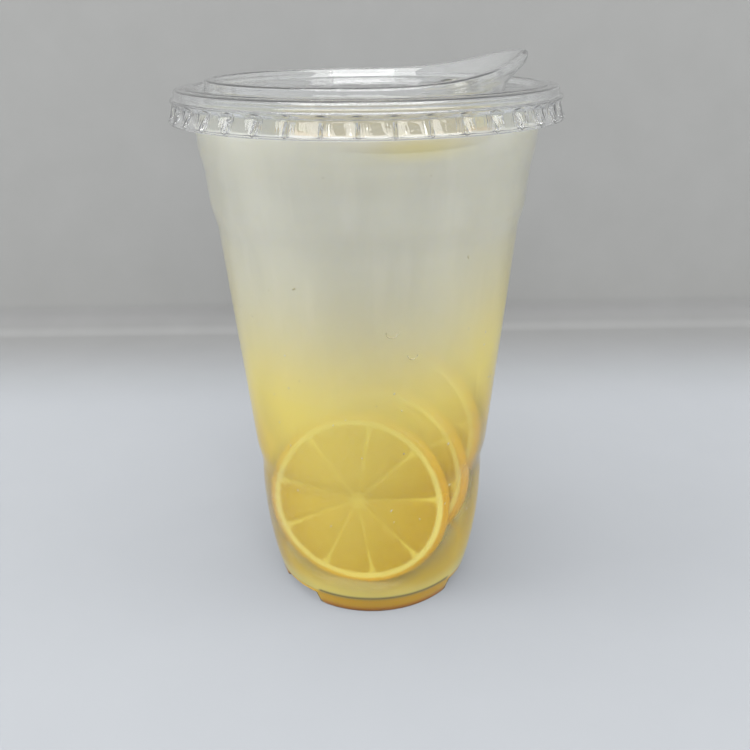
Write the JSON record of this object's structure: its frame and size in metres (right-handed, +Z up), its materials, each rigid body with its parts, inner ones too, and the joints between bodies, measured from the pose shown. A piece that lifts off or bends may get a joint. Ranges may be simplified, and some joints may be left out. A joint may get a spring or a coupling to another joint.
{
  "type": "lemonade in a lidded clear plastic cup",
  "caption": "Cold cloudy lemonade with lemon slices in a tapered clear plastic cup, closed with a clear sip lid.",
  "frame": {"origin": "middle of the cup's foot, on the surface it stands on", "axes": "+Z up along the cup's axis, +X towards the lid's spout, -Y towards the side the picture shows"},
  "size_m": [0.1024, 0.1024, 0.1557],
  "materials": {
    "cup_plastic": "clear thermoformed plastic, glossy",
    "lemonade": "cloudy pale drink, wet",
    "lemon": "wet lemon flesh with pale pith and yellow rind",
    "lid_plastic": "clear thermoformed plastic, glossy"
  },
  "bodies": {
    "root": {"cup": "cup_plastic", "drink": "lemonade", "lemon_float": "lemon", "lid": "lid_plastic"}
  },
  "joints": []
}
